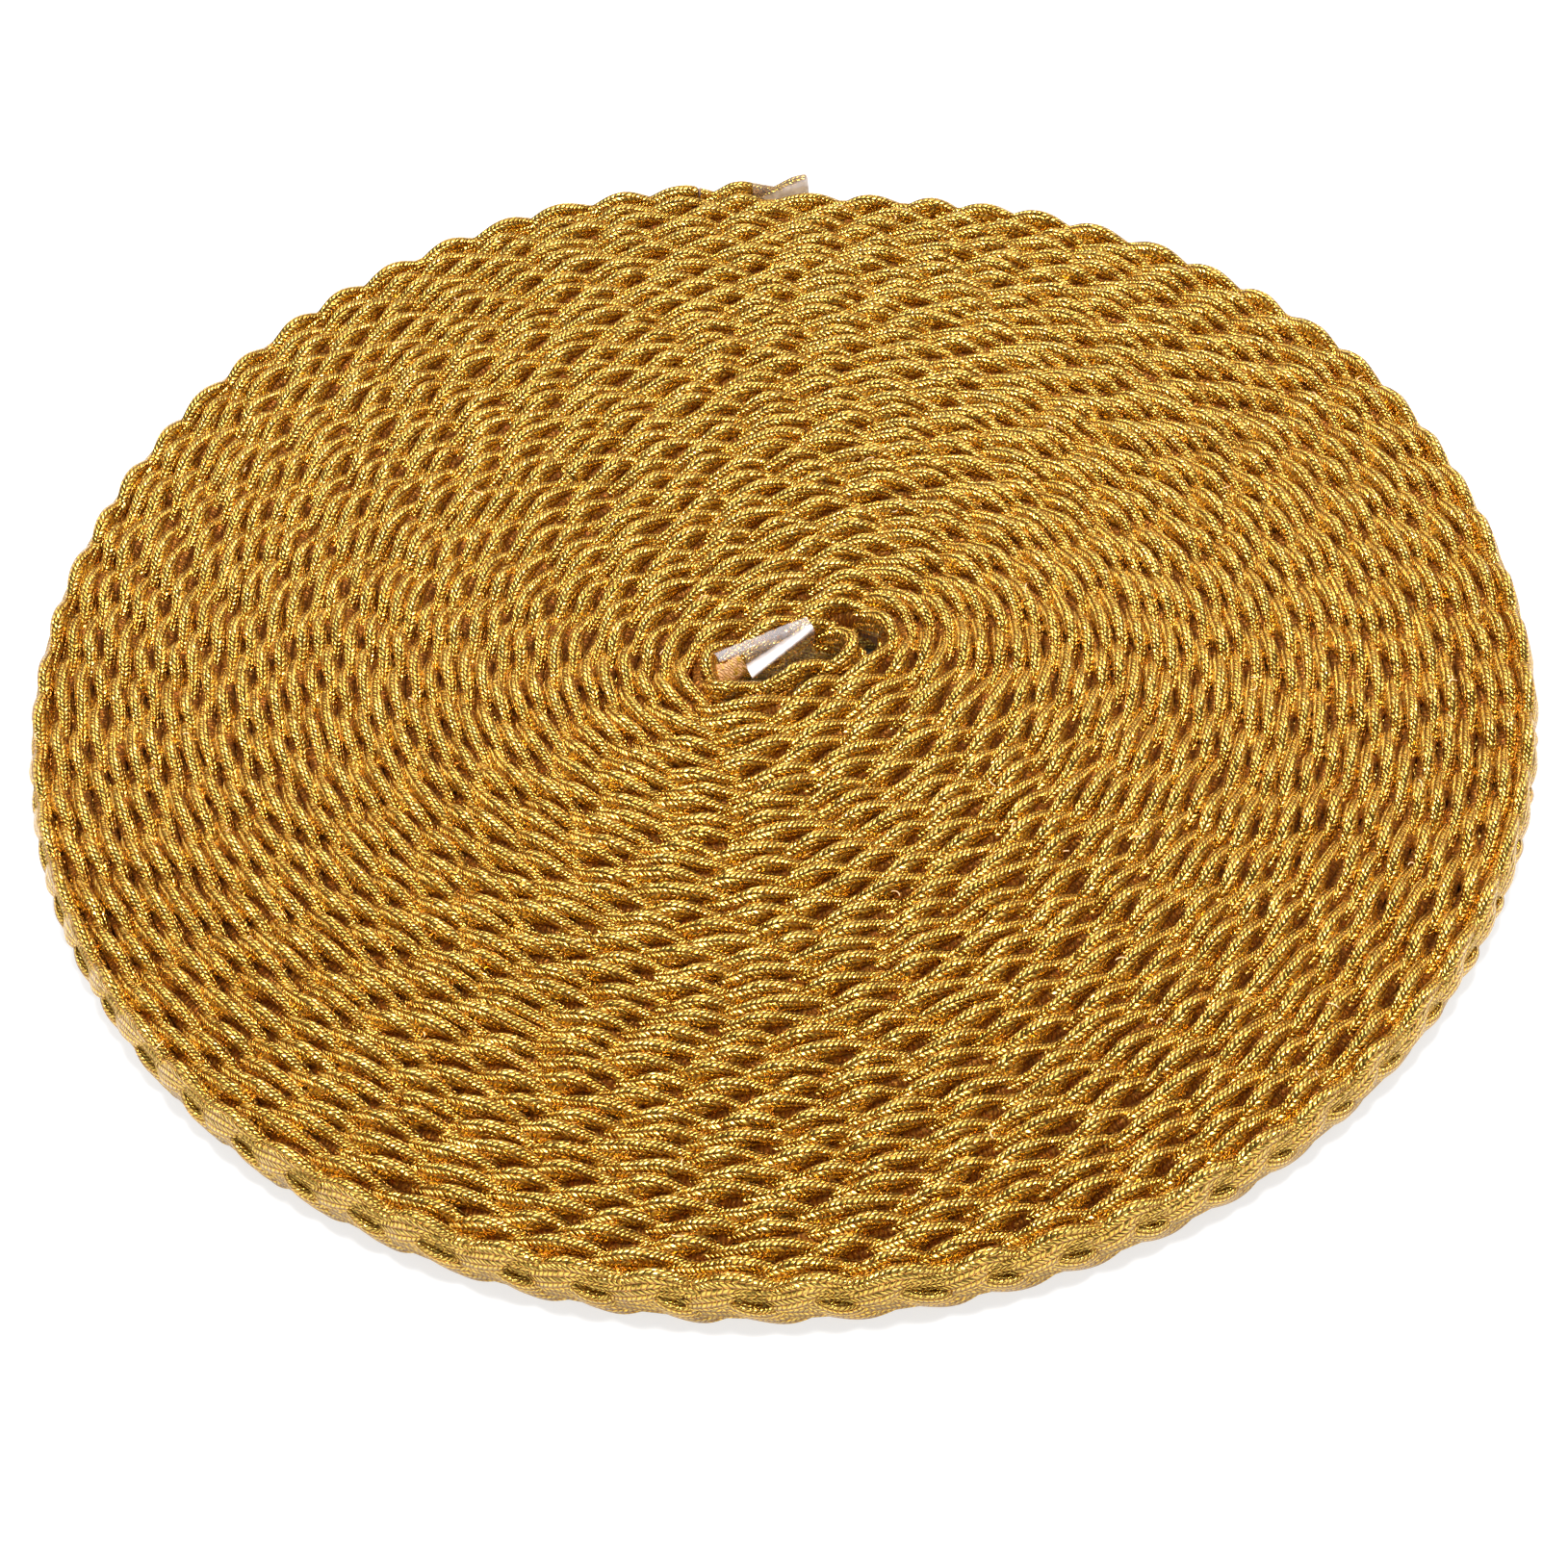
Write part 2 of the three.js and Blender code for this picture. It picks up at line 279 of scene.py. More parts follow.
def strand(s, number):
    """Centre of a strand at the distances s, its two cross axes, width first, and its two sizes.

    With the phase t, the strand stands out by -B sin 2t and is at height A arcsin(k sin t) /
    arcsin(k), a wave between a sine and a zigzag: straighter across, tighter at the edges. It
    leans over the edge that it goes round, by LEAN times 2 |sin t| cos t. It is fullest at the
    edges, by the fourth power of sin t, and fuller still on the outermost turn, which nothing
    presses from outside.
    """
    point, way, out = along_line(s)
    t = 2 * math.pi * ((s - RIM_START) / WAVE_LENGTH + number / 3)
    t = t + calm(s) * PHASE_DRIFT * wander(s, (47, 83, 131, 19), 5)
    t = t + OWN_PHASE_DRIFT * wander(s, (29, 53), 20 + number)
    swing = np.arcsin(SWING_SHARPNESS * np.sin(t)) / math.asin(SWING_SHARPNESS)
    up = SWING_UP * (1 + SIZE_DRIFT * wander(s, (41, 67), 30 + number)) * swing
    up = up + HEIGHT_DRIFT * calm(s) * wander(s, (160, 290, 71), 6)
    swing_out = SWING_OUT + SWING_OUT_MORE * (calm(s) - calm(ROLL_END))
    side = -swing_out * np.sin(2 * t) + SIDE_DRIFT * calm(s) * wander(s, (110, 47), 7)
    flat = point + side[:, None] * out
    centre = np.column_stack([flat, BRAID_WIDTH / 2 + up])
    along = np.gradient(centre, axis=0)
    along /= np.linalg.norm(along, axis=1)[:, None]
    lean = LEAN * 2 * np.abs(np.sin(t)) * np.cos(t)
    face = np.column_stack([np.cos(lean)[:, None] * out, -np.sin(lean)])
    face -= np.sum(face * along, axis=1)[:, None] * along
    face /= np.linalg.norm(face, axis=1)[:, None]
    fullness = np.sin(t) ** 4
    width = CROSSED_WIDTH + (EDGE_WIDTH - CROSSED_WIDTH) * fullness
    width = width * (1 + SIZE_DRIFT * wander(s, (23, 37, 61), 40 + number))
    width = width * (1 + RIM_FULLER * (1 - calm(s)) * (s < ROLL_END))
    thickness = CROSSED_THICKNESS + (EDGE_THICKNESS - CROSSED_THICKNESS) * fullness
    return centre, np.cross(along, face), face, width, thickness


# %% [markdown]
# ## A strand's cross-section
# Each strand is a soft cord, plaited from gold thread and pressed to an oval. Twelve points are
# enough for that shape, because smooth shading rounds it, and fifty metres of cord need them
# sparingly. They stand evenly round it, so that the columns of thread are all equally wide. The
# rings stand closer together at the edges of the braid, where the strand turns and shows, and
# further apart inside, where it is hidden.

# %% Rings and their spacing
SIDES = 12
OVAL_FULLNESS = 0.82
RINGS_PER_WAVE = 24
EDGE_CROWDING = 0.4
THREAD_PITCH = 0.64


def oval_section(sides):
    """Points evenly round an oval of width and thickness 1, spaced for the strand's own shape."""
    angle = np.linspace(0, 2 * math.pi, 2000)
    x = np.sign(np.cos(angle)) * np.abs(np.cos(angle)) ** OVAL_FULLNESS / 2
    y = np.sign(np.sin(angle)) * np.abs(np.sin(angle)) ** OVAL_FULLNESS / 2
    steps = np.hypot(np.diff(x) * EDGE_WIDTH, np.diff(y) * EDGE_THICKNESS)
    length = np.concatenate([[0], np.cumsum(steps)])
    places = np.arange(sides) / sides * length[-1]
    return np.stack([np.interp(places, length, x), np.interp(places, length, y)], -1)


SECTION = oval_section(SIDES)


def ring_places(first, last, number, per_wave):
    """Distances along the braid for the rings: even steps of phase, pulled towards both edges.

    An even phase p becomes p + c/2 sin 2p, whose steps are shortest where the strand is at an edge.
    """
    count = max(int((last - first) / WAVE_LENGTH * per_wave), 8)
    phase = 2 * math.pi * ((np.linspace(first, last, count) - RIM_START) / WAVE_LENGTH + number / 3)
    shift = EDGE_CROWDING / 2 * (np.sin(2 * phase) - np.sin(2 * phase[0]))
    shift -= np.linspace(0, 1, count) * shift[-1]
    return first + (phase - phase[0] + shift) / (2 * math.pi) * WAVE_LENGTH


# %% [markdown]
# ## From arrays to a mesh
# The rings of a strand are a grid of points, one row for each ring, closed round and capped at
# both ends. Its UV map isn't spread over a square: U counts the gold threads along the strand
# and V goes round it once. The material can then lay its threads on the strand whichever way it
# turns.

# %% Mesh helpers


def tube_grid(centre, across, face, width, thickness, along_uv):
    """Points, faces and corner UVs of one strand.

    The section's x goes across by the strand's width, and its y out by the thickness.
    """
    rings, sides = len(centre), len(SECTION)
    x = SECTION[None, :, :1] * width[:, None, None]
    y = SECTION[None, :, 1:] * thickness[:, None, None]
    points = centre[:, None] + x * across[:, None] + y * face[:, None]
    i, j = np.meshgrid(np.arange(rings - 1), np.arange(sides), indexing="ij")
    nxt = (j + 1) % sides
    row = i * sides
    quads = np.stack([row + j, row + sides + j, row + sides + nxt, row + nxt], -1)
    u = np.stack([along_uv[i], along_uv[i + 1], along_uv[i + 1], along_uv[i]], -1)
    v = np.stack([j, j, j + 1, j + 1], -1) / sides
    return points.reshape(-1, 3), quads.reshape(-1, 4), np.stack([u, v], -1).reshape(-1, 4, 2)


def mesh_object(name, points, quads, corner_uv, caps, uv_name="threads"):
    """A smooth mesh object at the origin, from points in millimetres, quads and end caps."""
    mesh = bpy.data.meshes.new(name)
    corners = np.concatenate([quads.ravel(), *[np.asarray(cap) for cap in caps]])
    sizes = np.concatenate([np.full(len(quads), 4), [len(cap) for cap in caps]]).astype(np.int32)
    mesh.vertices.add(len(points))
    mesh.vertices.foreach_set("co", (points * MM).astype(np.float32).ravel())
    mesh.loops.add(len(corners))
    mesh.loops.foreach_set("vertex_index", corners.astype(np.int32))
    mesh.polygons.add(len(sizes))
    starts = np.concatenate([[0], np.cumsum(sizes)[:-1]]).astype(np.int32)
    mesh.polygons.foreach_set("loop_start", starts)
    mesh.polygons.foreach_set("use_smooth", np.arange(len(sizes)) < len(quads))
    uv = np.zeros((len(corners), 2), np.float32)
    uv[: corner_uv.size // 2] = corner_uv.reshape(-1, 2)
    mesh.uv_layers.new(name=uv_name).data.foreach_set("uv", uv.ravel())
    mesh.update(calc_edges=True)
    mesh.validate()
    made = bpy.data.objects.new(name, mesh)
    bpy.context.scene.collection.objects.link(made)
    return made


# %% [markdown]
# ## Inside the tape, and the first turn
# The tape squeezes the plait at both cut ends, so the strands flatten and draw together there.
# The first turn has nothing stiff to lean on, so its foot has slipped in under the taped start.

# %% Squeeze and lean
SQUEEZE = 0.72
SQUEEZE_RAMP = 3.0
CORE_TAPE_START = 0.6
CORE_TAPE_LENGTH = 15.2
END_TAPE_LENGTH = 9.6


def squeeze(s):
    """The share of its thickness that the plait keeps: 1 along the roll, less inside the tapes."""
    core = np.clip((CORE_TAPE_START + CORE_TAPE_LENGTH - s) / SQUEEZE_RAMP, 0, 1)
    end = np.clip((s - (BRAID_END - END_TAPE_LENGTH)) / SQUEEZE_RAMP + 1, 0, 1)
    return 1 - (1 - SQUEEZE) * np.maximum(core, end)


FIRST_TURN_LEAN = 3.6
LEANS_BETWEEN = (27.0, 35.0, 57.0, 74.0)


def first_turn_lean(s):
    """How far the foot of the first turn has slipped in under the start: up, then down again."""
    return FIRST_TURN_LEAN * np.interp(s, LEANS_BETWEEN, (0, 1, 1, 0))


# %% [markdown]
# ## The strands of the roll
# The wound braid is six pieces, each with all three strands of one length, because a piece of a
# scene is best kept under two hundred thousand triangles. The first is only the few millimetres
# whose foil has gone, because they have another finish.

# %% Three strands over one length
WIDTH_SQUEEZED = 0.6
HEIGHT_SQUEEZED = 0.55


def plait(name, first, last, per_wave):
    """The three strands between two distances as one mesh: squeezed, leant, on the floor."""
    points, quads, uvs, caps, base = [], [], [], [], 0
    for number in range(3):
        s = ring_places(first, last, number, per_wave)
        centre, across, face, width, thickness = strand(s, number)
        steps = np.linalg.norm(np.diff(centre, axis=0), axis=1)
        own_length = np.concatenate([[0], np.cumsum(steps)])
        kept = squeeze(s)
        width = width * (1 - WIDTH_SQUEEZED * (1 - kept))
        middle, _, out = along_line(s)
        centre[:, :2] = middle + (centre[:, :2] - middle) * kept[:, None]
        centre[:, :2] -= (first_turn_lean(s) * (1 - centre[:, 2] / BRAID_WIDTH))[:, None] * out
        swing_kept = 1 - HEIGHT_SQUEEZED * (1 - kept)
        centre[:, 2] = BRAID_WIDTH / 2 + (centre[:, 2] - BRAID_WIDTH / 2) * swing_kept
        along_uv = own_length / THREAD_PITCH
        p, q, uv = tube_grid(centre, across, face, width, thickness * kept, along_uv)
        p[:, 2] = np.maximum(p[:, 2], 0)
        sides = len(SECTION)
        points.append(p)
        quads.append(q + base)
        uvs.append(uv)
        caps.append(base + np.arange(sides))
        caps.append(base + len(p) - 1 - np.arange(sides))
        base += len(p)
    points, quads, uvs = (np.concatenate(part) for part in (points, quads, uvs))
    return mesh_object(name, points, quads, uvs, caps)


INNER_PIECES = 4
BARE_LENGTH = 4.6
cuts = np.linspace(BARE_LENGTH, RIM_START, INNER_PIECES + 1)
bare_start = plait("bare_start", 0, BARE_LENGTH, 4 * RINGS_PER_WAVE)
roll_pieces = [
    plait(f"braid_length_{k + 1}", cuts[k], cuts[k + 1], RINGS_PER_WAVE)
    for k in range(INNER_PIECES)
]
roll_pieces.append(plait("braid_rim", RIM_START, ROLL_END, 2 * RINGS_PER_WAVE))
for made in roll_pieces:
    print(made.name, "triangles:", sum(len(p.vertices) - 2 for p in made.data.polygons))

# %% [markdown]
# The cords are soft and press together until no light passes between them. Rather than swell
# each one into its neighbours, a thin web runs inside the plait and closes the small openings,
# as the crushed inner sides of the cords do. Inside the roll it is brown, as painted shade for
# the deep gaps between turns, and on the rim it is gold.

# %% The web inside the plait
WEB_FROM = BARE_LENGTH + 45
WEB_STEP = 3.2
STRAND_ROUND = 11.0
WEB_CORNERS = np.array([(0, 1), (1, 0.8), (1, -0.8), (0, -1), (-1, -0.8), (-1, 0.8)]) / 2
WEB_INSIDE = (4.8, 2.3)
WEB_ON_RIM = (7.4, 2.1)


def plait_web(name, first, last, height, thickness):
    """A thin strip along the braid's middle line, with six corners round it."""
    s = np.linspace(first, last, int((last - first) / WEB_STEP))
    point, _, out = along_line(s)
    out = np.column_stack([out, np.zeros(len(s))])
    up = np.tile([0.0, 0.0, 1.0], (len(s), 1))
    centre = np.column_stack([point, np.full(len(s), BRAID_WIDTH / 2)])
    x = WEB_CORNERS[None, :, 1:] * height
    y = WEB_CORNERS[None, :, :1] * thickness
    points = centre[:, None] + x * up[:, None] + y * out[:, None]
    rings, sides = len(s), len(WEB_CORNERS)
    i, j = np.meshgrid(np.arange(rings - 1), np.arange(sides), indexing="ij")
    nxt = (j + 1) % sides
    row = i * sides
    quads = np.stack([row + j, row + sides + j, row + sides + nxt, row + nxt], -1)
    edges = np.roll(WEB_CORNERS, -1, 0) - WEB_CORNERS
    edge_length = np.hypot(edges[:, 0] * thickness, edges[:, 1] * height)
    u, v = s / THREAD_PITCH, np.concatenate([[0], np.cumsum(edge_length)]) / STRAND_ROUND
    uv = np.stack([np.stack([u[i], u[i + 1], u[i + 1], u[i]], -1),
                   np.stack([v[j], v[j], v[j + 1], v[j + 1]], -1)], -1)
    caps = [np.arange(sides), len(s) * sides - 1 - np.arange(sides)]
    points, quads, uv = points.reshape(-1, 3), quads.reshape(-1, 4), uv.reshape(-1, 4, 2)
    return mesh_object(name, points, quads, uv, caps)


roll_pieces.append(plait_web("web_inside", WEB_FROM, RIM_START, *WEB_INSIDE))
roll_pieces.append(plait_web("web_rim", RIM_START, ROLL_END, *WEB_ON_RIM))
for made in roll_pieces[-2:]:
    print(made.name, "triangles:", sum(len(p.vertices) - 2 for p in made.data.polygons))

# %% [markdown]
# ## The loose end
# The last two centimetres run straight off the roll. They are the same plait.

# %% Loose end
loose_end = plait(
    "loose_braid", ROLL_END + PIECE_GAP, BRAID_END - PIECE_GAP, 2 * RINGS_PER_WAVE,
)
print("loose end triangles:", sum(len(p.vertices) - 2 for p in loose_end.data.polygons))

# %% [markdown]
# ## Gold thread
# Lame thread is a yarn wrapped with gold foil. On the cord it lies in a herringbone: slanted
# threads meet like the grains of an ear of wheat, and each shows as one bead. A picture texture
# would blur here, so the pattern is worked out from the strand's own UV map: the number of the
# thread, and how far the point is from its middle. Each bead leans its own way, which is what
# makes the braid glitter: one bead mirrors the bright part of the sky and its neighbour
# doesn't.

# %% Material helpers


def new_material(name):
    """A node material and its Principled shader."""
    material = bpy.data.materials.new(name)
    material.use_nodes = True
    return material, material.node_tree.nodes["Principled BSDF"]


class Wiring:
    """Short calls that add nodes to one material and join them."""

    def __init__(self, material):
        self.nodes = material.node_tree.nodes
        self.links = material.node_tree.links

    def add(self, kind, inputs=(), output=0, **settings):
        """A node with some settings, whose inputs are sockets to join or plain values."""
        node = self.nodes.new(kind)
        for key, value in settings.items():
            setattr(node, key, value)
        for socket, value in dict(inputs).items():
            if isinstance(value, bpy.types.NodeSocket):
                self.links.new(value, node.inputs[socket])
            else:
                node.inputs[socket].default_value = value
        return node.outputs[output]

    def math(self, operation, *values):
        """A Math node."""
        return self.add("ShaderNodeMath", dict(enumerate(values)), operation=operation)

    def mix(self, factor, a, b):
        """A colour mix."""
        return self.add("ShaderNodeMix", {0: factor, 6: a, 7: b}, output=2, data_type="RGBA")


# %% Gold thread material
THREAD_COLUMNS = 13
THREAD_SLANT = 0.8
THREAD_RELIEF = 0.21 * MM
GOLD_LIGHT = (0.92, 0.67, 0.14, 1)
GOLD_MID = (0.75, 0.47, 0.06, 1)
# Deep brown towards the rims of the beads: partly dark yarn, partly painted shade in the gaps.
GOLD_GAP_YARN_AND_SHADE = (0.3, 0.09, 0.014, 1)
BEAD_LEAN = 1.5
CRINKLE_SCALE = 3200.0
CRINKLE_SHARE = 0.35
PATCH_SCALE = 60.0
CHANCE_SHARE = 0.6
ROUGH_LEAST = 0.12
ROUGH_MORE = 0.2
GAP_SHADE_POWER = 1.5
# Brown gold of the web inside the roll: painted shade for the deep gaps between turns.
WEB_SHADE_DARK = (0.13, 0.03, 0.006, 1)
WEB_SHADE_LIGHT = (0.5, 0.24, 0.03, 1)


def gold_thread():
    """Beads of slanted thread in columns round the strand.

    The thread number is n = U - slant x zigzag(columns x V), so that neighbouring columns lean
    opposite ways. A bead's height is the root of two parabolas, one along n and one across.
    Towards its rim each bead goes deep brown: partly the dark yarn between the threads, partly
    painted shade in the gaps.
    """
    material, shader = new_material("gold thread")
    w = Wiring(material)
    uv = w.add("ShaderNodeUVMap", uv_map="threads")
    u = w.add("ShaderNodeSeparateXYZ", {0: uv}, output=0)
    v = w.add("ShaderNodeSeparateXYZ", {0: uv}, output=1)
    column = w.math("MULTIPLY", v, float(THREAD_COLUMNS))
    count = w.math("SUBTRACT", u, w.math("MULTIPLY", w.math("PINGPONG", column, 1.0), THREAD_SLANT))

    def across_unit(value):
        """From -1 to 1 across each whole unit of a value."""
        return w.math("SUBTRACT", w.math("MULTIPLY", w.math("FRACT", value), 2.0), 1.0)

    def crown(x):
        """1 at the middle of a unit, 0 at its ends: 1 - x squared."""
        return w.math("SUBTRACT", 1.0, w.math("MULTIPLY", x, x))

    x, y = across_unit(count), across_unit(column)
    bead = w.math("SQRT", w.math("MULTIPLY", crown(x), crown(y)))
    key = w.add("ShaderNodeCombineXYZ", {0: w.math("FLOOR", count), 1: w.math("FLOOR", column)})
    noise = w.nodes.new("ShaderNodeTexWhiteNoise")
    noise.noise_dimensions = "2D"
    w.links.new(key, noise.inputs["Vector"])
    chance = noise.outputs["Value"]
    lean = w.add(
        "ShaderNodeVectorMath", {0: noise.outputs["Color"], 1: (0.5, 0.5, 0.5)},
        operation="SUBTRACT",
    )
    slope = w.add(
        "ShaderNodeVectorMath", {0: lean, 1: w.add("ShaderNodeCombineXYZ", {0: x, 1: y})},
        output=1, operation="DOT_PRODUCT",
    )
    place = w.add("ShaderNodeTexCoord", output=3)
    crinkle = w.add(
        "ShaderNodeTexNoise",
        {"Vector": place, "Scale": CRINKLE_SCALE, "Detail": 2.0, "Roughness": 0.6},
    )
    patch = w.add("ShaderNodeTexNoise", {"Vector": place, "Scale": PATCH_SCALE, "Detail": 2.0})
    own = w.math("MULTIPLY", chance, CHANCE_SHARE)
    shade = w.math("ADD", own, w.math("MULTIPLY", patch, 1 - CHANCE_SHARE))
    gold = w.mix(shade, GOLD_MID, GOLD_LIGHT)
    # The gold goes deep brown towards each bead's rim: partly the dark yarn between threads, partly
    # painted shade.
    colour = w.mix(w.math("POWER", bead, GAP_SHADE_POWER), GOLD_GAP_YARN_AND_SHADE, gold)
    w.links.new(colour, shader.inputs["Base Color"])
    rough = w.math("ADD", ROUGH_LEAST, w.math("MULTIPLY", chance, ROUGH_MORE))
    w.links.new(rough, shader.inputs["Roughness"])
    shader.inputs["Metallic"].default_value = 1.0
    tilted = w.math("MULTIPLY", bead, w.math("ADD", 1.0, w.math("MULTIPLY", slope, BEAD_LEAN)))
    height = w.math("ADD", tilted, w.math("MULTIPLY", crinkle, CRINKLE_SHARE))
    bump = w.add(
        "ShaderNodeBump", {"Height": height, "Distance": THREAD_RELIEF, "Strength": 1.0}
    )
    w.links.new(bump, shader.inputs["Normal"])
    w.links.new(bump, shader.inputs["Coat Normal"])
    shader.inputs["Coat Weight"].default_value = 0.12
    shader.inputs["Coat Roughness"].default_value = 0.12
    return material


def painted_shade_thread():
    """The crushed inner side of the cords in brown gold that is painted shade, in fine slanted
    threads, hardly glossy.
    """
    material, shader = new_material("painted shade thread")
    w = Wiring(material)
    uv = w.add("ShaderNodeUVMap", uv_map="threads")
    u = w.add("ShaderNodeSeparateXYZ", {0: uv}, output=0)
    place = w.add("ShaderNodeTexCoord", output=3)
    patch = w.add("ShaderNodeTexNoise", {"Vector": place, "Scale": 1200.0, "Detail": 3.0})
    ply = w.math("PINGPONG", w.math("ADD", u, w.math("MULTIPLY", patch, 2.0)), 0.5)
    shade = w.math("MULTIPLY", w.math("MULTIPLY", ply, 2.0), patch)
    w.links.new(w.mix(shade, WEB_SHADE_DARK, WEB_SHADE_LIGHT), shader.inputs["Base Color"])
    shader.inputs["Metallic"].default_value = 0.9
    shader.inputs["Roughness"].default_value = 0.45
    bump = w.add("ShaderNodeBump", {"Height": shade, "Distance": 0.3 * MM, "Strength": 1.0})
    w.links.new(bump, shader.inputs["Normal"])
    return material


gold, painted_shade_gold = gold_thread(), painted_shade_thread()
# The web inside the roll takes the brown of painted shade.
for made in [*roll_pieces, loose_end]:
    made.data.materials.append(painted_shade_gold if made.name == "web_inside" else gold)
    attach(made, "root")
for made in roll_pieces:
    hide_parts("braid_roll")
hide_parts("loose_end")
print("gold or brown thread on", len(roll_pieces) + 1, "pieces")

# %% [markdown]
# ## Bare yarn at the start
# For its first few millimetres the braid has lost its foil, and the peach yarn that it was
# wound on shows. It is the same plait with another finish: dull, warm and finely twisted.

# %% Bare yarn
YARN_DARK = (0.55, 0.25, 0.08, 1)
YARN_LIGHT = (0.85, 0.5, 0.25, 1)
FOIL_CONTRAST = 9.0
FOIL_CUT = -4.4


def bare_yarn():
    """Peach yarn in fine slanted plies, from the strand's own UV map, with scraps of foil left."""
    material, shader = new_material("bare yarn")
    w = Wiring(material)
    uv = w.add("ShaderNodeUVMap", uv_map="threads")
    u = w.add("ShaderNodeSeparateXYZ", {0: uv}, output=0)
    v = w.add("ShaderNodeSeparateXYZ", {0: uv}, output=1)
    place = w.add("ShaderNodeTexCoord", output=3)
    patch = w.add("ShaderNodeTexNoise", {"Vector": place, "Scale": 1500.0, "Detail": 4.0})
    slant = w.math("ADD", w.math("MULTIPLY", u, 3.1), w.math("MULTIPLY", v, 14.0))
    ply = w.math("PINGPONG", w.math("ADD", slant, w.math("MULTIPLY", patch, 6.0)), 1.0)
    scraps = w.math("MULTIPLY_ADD", patch, FOIL_CONTRAST, FOIL_CUT)
    foil = w.math("MINIMUM", w.math("MAXIMUM", scraps, 0.0), 1.0)
    yarn = w.mix(ply, YARN_DARK, YARN_LIGHT)
    w.links.new(w.mix(foil, yarn, GOLD_MID), shader.inputs["Base Color"])
    w.links.new(w.math("MULTIPLY", foil, 0.9), shader.inputs["Metallic"])
    shader.inputs["Roughness"].default_value = 0.4
    relief = w.math("ADD", ply, patch)
    bump = w.add("ShaderNodeBump", {"Height": relief, "Distance": 0.14 * MM, "Strength": 1.0})
    w.links.new(bump, shader.inputs["Normal"])
    return material


bare_start.data.materials.append(bare_yarn())
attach(bare_start, "root")
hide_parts("braid_roll")

# %% [markdown]
# ## Loose fibres
# A few short ends of peach yarn lie on the top edge of a braid like this, where the foil has
# worn through. Each one is a thin tube along a small arc, with its own length, bend and
# direction. All of them are worked out together, as one array with a row for each fibre.

# %% Loose fibres
FIBRE_COUNT = 70
FIBRE_RADIUS = 0.075
FIBRE_RINGS = 9
FIBRE_SIDES = 5
FIBRES_FROM = 150
FIBRE_LIFT = 0.12
FIBRE_SEED = 9
FIBRE_LENGTHS = (0.7, 2.2)
FIBRE_BEND = 3
FIBRE_DARK = (0.75, 0.36, 0.12, 1)
FIBRE_LIGHT = (1.0, 0.72, 0.42, 1)


def loose_fibres(name):
    """Tubes on arcs: heading h + b f for f from -1/2 to 1/2, summed along the fibre's length."""
    random = np.random.default_rng(FIBRE_SEED)
    place = along_line(random.uniform(FIBRES_FROM, ROLL_END, FIBRE_COUNT))[0]
    heading = random.uniform(0, 2 * math.pi, (FIBRE_COUNT, 1))
    bend = random.uniform(-FIBRE_BEND, FIBRE_BEND, (FIBRE_COUNT, 1))
    length = random.uniform(*FIBRE_LENGTHS, (FIBRE_COUNT, 1, 1))
    f = np.linspace(-0.5, 0.5, FIBRE_RINGS)
    way = unit(heading + bend * f)
    path = np.cumsum(way, axis=1) * length / FIBRE_RINGS
    flat = place[:, None] + path - path.mean(axis=1, keepdims=True)
    height = np.broadcast_to(BRAID_WIDTH + FIBRE_LIFT * (1 - 4 * f * f), flat.shape[:2])
    centre = np.concatenate([flat, height[..., None]], -1)
    left = np.stack([-way[..., 1], way[..., 0], np.zeros(way.shape[:2])], -1)
    up = np.array([0.0, 0.0, 1.0])
    round_it = 2 * math.pi * np.arange(FIBRE_SIDES)[:, None] / FIBRE_SIDES
    ring = np.cos(round_it) * up + np.sin(round_it) * left[:, :, None]
    points = centre[:, :, None] + FIBRE_RADIUS * ring
    k, i, j = np.meshgrid(
        np.arange(FIBRE_COUNT), np.arange(FIBRE_RINGS - 1), np.arange(FIBRE_SIDES), indexing="ij",
    )
    row, nxt = (k * FIBRE_RINGS + i) * FIBRE_SIDES, (j + 1) % FIBRE_SIDES
    quads = np.stack([row + j, row + FIBRE_SIDES + j, row + FIBRE_SIDES + nxt, row + nxt], -1)
    first = np.arange(FIBRE_COUNT)[:, None] * FIBRE_RINGS * FIBRE_SIDES
    start_caps = first + np.arange(FIBRE_SIDES)
    end_caps = first + FIBRE_RINGS * FIBRE_SIDES - 1 - np.arange(FIBRE_SIDES)
    uv = np.stack([i + 0 * j, j], -1)[..., None, :] * np.ones((4, 1))
    return mesh_object(
        name, points.reshape(-1, 3), quads.reshape(-1, 4), uv.reshape(-1, 4, 2),
        [*start_caps, *end_caps],
    )


def peach_fibre():
    """Dull peach yarn, lighter and darker along its length by a noise of its own place."""
    material, shader = new_material("peach fibre")
    w = Wiring(material)
    place = w.add("ShaderNodeTexCoord", output=3)
    patch = w.add("ShaderNodeTexNoise", {"Vector": place, "Scale": 800.0, "Detail": 2.0})
    w.links.new(w.mix(patch, FIBRE_DARK, FIBRE_LIGHT), shader.inputs["Base Color"])
    shader.inputs["Roughness"].default_value = 0.7
    return material


fibres = loose_fibres("loose_fibres")
fibres.data.materials.append(peach_fibre())
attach(fibres, "root")
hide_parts("braid_roll")
print("fibre triangles:", sum(len(p.vertices) - 2 for p in fibres.data.polygons))

# %% [markdown]
# ## Clear tape
# Each cut end is wrapped in a piece of clear tape, so that the plait can't come undone. The
# film is a tube with a real thickness, a skin outside and a skin inside joined at both rims.
# Its outline is blended from one end to the other between two sets of corners. In the middle of
# the roll the film stands off the braid on its front side and has a flat fold there, which
# climbs from halfway up at the cut to the top at the loop. The fold faces the bright sky, and its
# white streak is also a painted highlight, made by making the film milky there. How milky the
# film is goes with the mesh, as the V of its own UV map.

